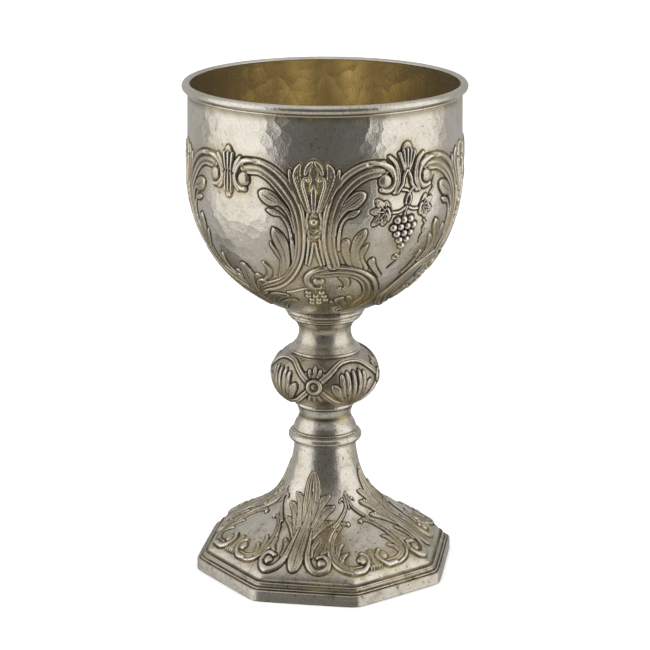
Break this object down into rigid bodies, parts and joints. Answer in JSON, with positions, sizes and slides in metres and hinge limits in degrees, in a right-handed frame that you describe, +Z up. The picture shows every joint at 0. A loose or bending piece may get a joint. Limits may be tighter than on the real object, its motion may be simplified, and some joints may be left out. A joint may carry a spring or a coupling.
{
  "type": "chalice",
  "caption": "Silver chalice with a gilt round bowl chased with scrolls, leaves and grapes, a chased knop between turned collars, and a flared octagonal foot.",
  "frame": {"origin": "centre of the octagonal foot's underside, on the table", "axes": "+Z up the stem to the mouth, -Y to the front, square to the foot flat that carries a leaf, +X to the right"},
  "size_m": [0.1118, 0.1118, 0.2],
  "materials": {
    "bowl_silver": "worn hammered silver, brown tarnish in the recesses, gilt inside",
    "stem_silver": "worn turned silver with a warm tarnish",
    "knop_silver": "chased silver, dark in the recesses and bright on the edges",
    "foot_silver": "chased silver with a warm tarnish and mottled edge"
  },
  "bodies": {
    "root": {"bowl": "bowl_silver", "stem_collar": "stem_silver", "knop": "knop_silver", "stem_spool": "stem_silver", "foot": "foot_silver"}
  },
  "joints": []
}
